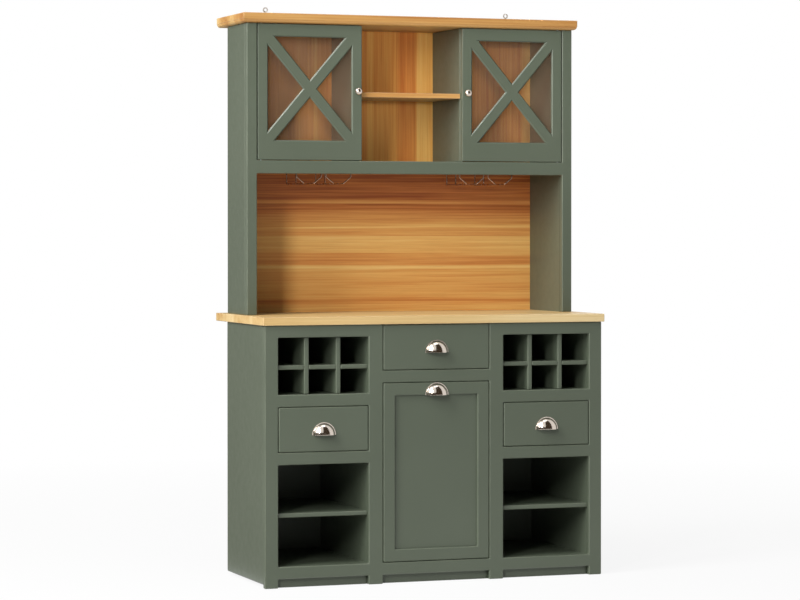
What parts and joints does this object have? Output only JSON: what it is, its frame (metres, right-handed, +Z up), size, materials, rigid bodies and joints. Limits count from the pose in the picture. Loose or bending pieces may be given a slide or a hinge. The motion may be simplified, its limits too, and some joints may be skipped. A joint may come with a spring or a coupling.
{
  "type": "kitchen dresser",
  "caption": "Tall painted kitchen dresser: base with bottle racks, open shelves, drawers and a pull-out bin front under an oak worktop; hutch with niche and glazed doors.",
  "frame": {"origin": "on the floor, in the middle of the width and of the depth from handles to wall", "axes": "+Z up, +X to the right of someone who faces the front, +Y back towards the wall"},
  "size_m": [1.216, 0.566, 1.94],
  "materials": {
    "green_paint": "satin grey-green paint on board",
    "oak": "clear-lacquered oak",
    "birch": "clear-lacquered birch",
    "nickel": "polished nickel",
    "steel": "zinc-plated steel",
    "chrome_wire": "polished wire",
    "clear_glass": "clear float glass",
    "bin_plastic": "moulded plastic"
  },
  "bodies": {
    "cabinet": {"base_end_panels": "green_paint", "base_inner_sides": "green_paint", "bay_partitions": "green_paint", "centre_sides": "green_paint", "base_back_panel": "green_paint", "centre_floor": "green_paint", "bay_boards": "green_paint", "face_frame_stiles": "green_paint", "face_frame_rails": "green_paint", "plinth_boards": "green_paint", "side_packers": "green_paint", "rack_shelves": "green_paint", "rack_dividers": "green_paint", "open_shelves": "green_paint", "hutch_end_panels": "green_paint", "hutch_inner_sides": "green_paint", "hutch_stiles": "green_paint", "hutch_rail": "green_paint", "hutch_floor": "green_paint", "hutch_dividers": "green_paint", "worktop": "oak", "cornice": "oak", "niche_back_panel": "oak", "upper_back_panel": "oak", "centre_shelf": "oak", "drawer_runners": "steel", "pullout_runners": "steel", "hanging_eyes": "steel", "hanger_screws": "steel", "shelf_pins": "steel", "stemware_racks": "chrome_wire"},
    "door_left": {"door_left_frame": "green_paint", "door_left_glass": "clear_glass", "door_left_glass_beads": "green_paint", "door_left_knob": "nickel", "door_left_pivots": "steel"},
    "door_right": {"door_right_frame": "green_paint", "door_right_glass": "clear_glass", "door_right_glass_beads": "green_paint", "door_right_knob": "nickel", "door_right_pivots": "steel"},
    "drawer_left": {"drawer_left_front": "green_paint", "drawer_left_box": "birch", "drawer_left_handle": "nickel", "drawer_left_slides": "steel"},
    "drawer_centre": {"drawer_centre_front": "green_paint", "drawer_centre_box": "birch", "drawer_centre_handle": "nickel", "drawer_centre_slides": "steel"},
    "drawer_right": {"drawer_right_front": "green_paint", "drawer_right_box": "birch", "drawer_right_handle": "nickel", "drawer_right_slides": "steel"},
    "bin_pullout": {"pullout_frame": "green_paint", "pullout_panel": "green_paint", "pullout_handle": "nickel", "pullout_carrier": "birch", "bin": "bin_plastic", "pullout_slides": "steel"}
  },
  "joints": [
    {"name": "door_left_swing", "type": "hinge", "parent": "cabinet", "child": "door_left", "pos_m": [-0.539, -0.016, 1.638], "axis": [0, 0, -1], "range_deg": [0, 110]},
    {"name": "door_right_swing", "type": "hinge", "parent": "cabinet", "child": "door_right", "pos_m": [0.539, -0.016, 1.638], "axis": [0, 0, 1], "range_deg": [0, 110]},
    {"name": "drawer_left_slide", "type": "slide", "parent": "cabinet", "child": "drawer_left", "axis": [0, -1, 0], "range_m": [0, 0.35]},
    {"name": "drawer_centre_slide", "type": "slide", "parent": "cabinet", "child": "drawer_centre", "axis": [0, -1, 0], "range_m": [0, 0.35]},
    {"name": "drawer_right_slide", "type": "slide", "parent": "cabinet", "child": "drawer_right", "axis": [0, -1, 0], "range_m": [0, 0.35]},
    {"name": "bin_pullout_slide", "type": "slide", "parent": "cabinet", "child": "bin_pullout", "axis": [0, -1, 0], "range_m": [0, 0.4]}
  ]
}
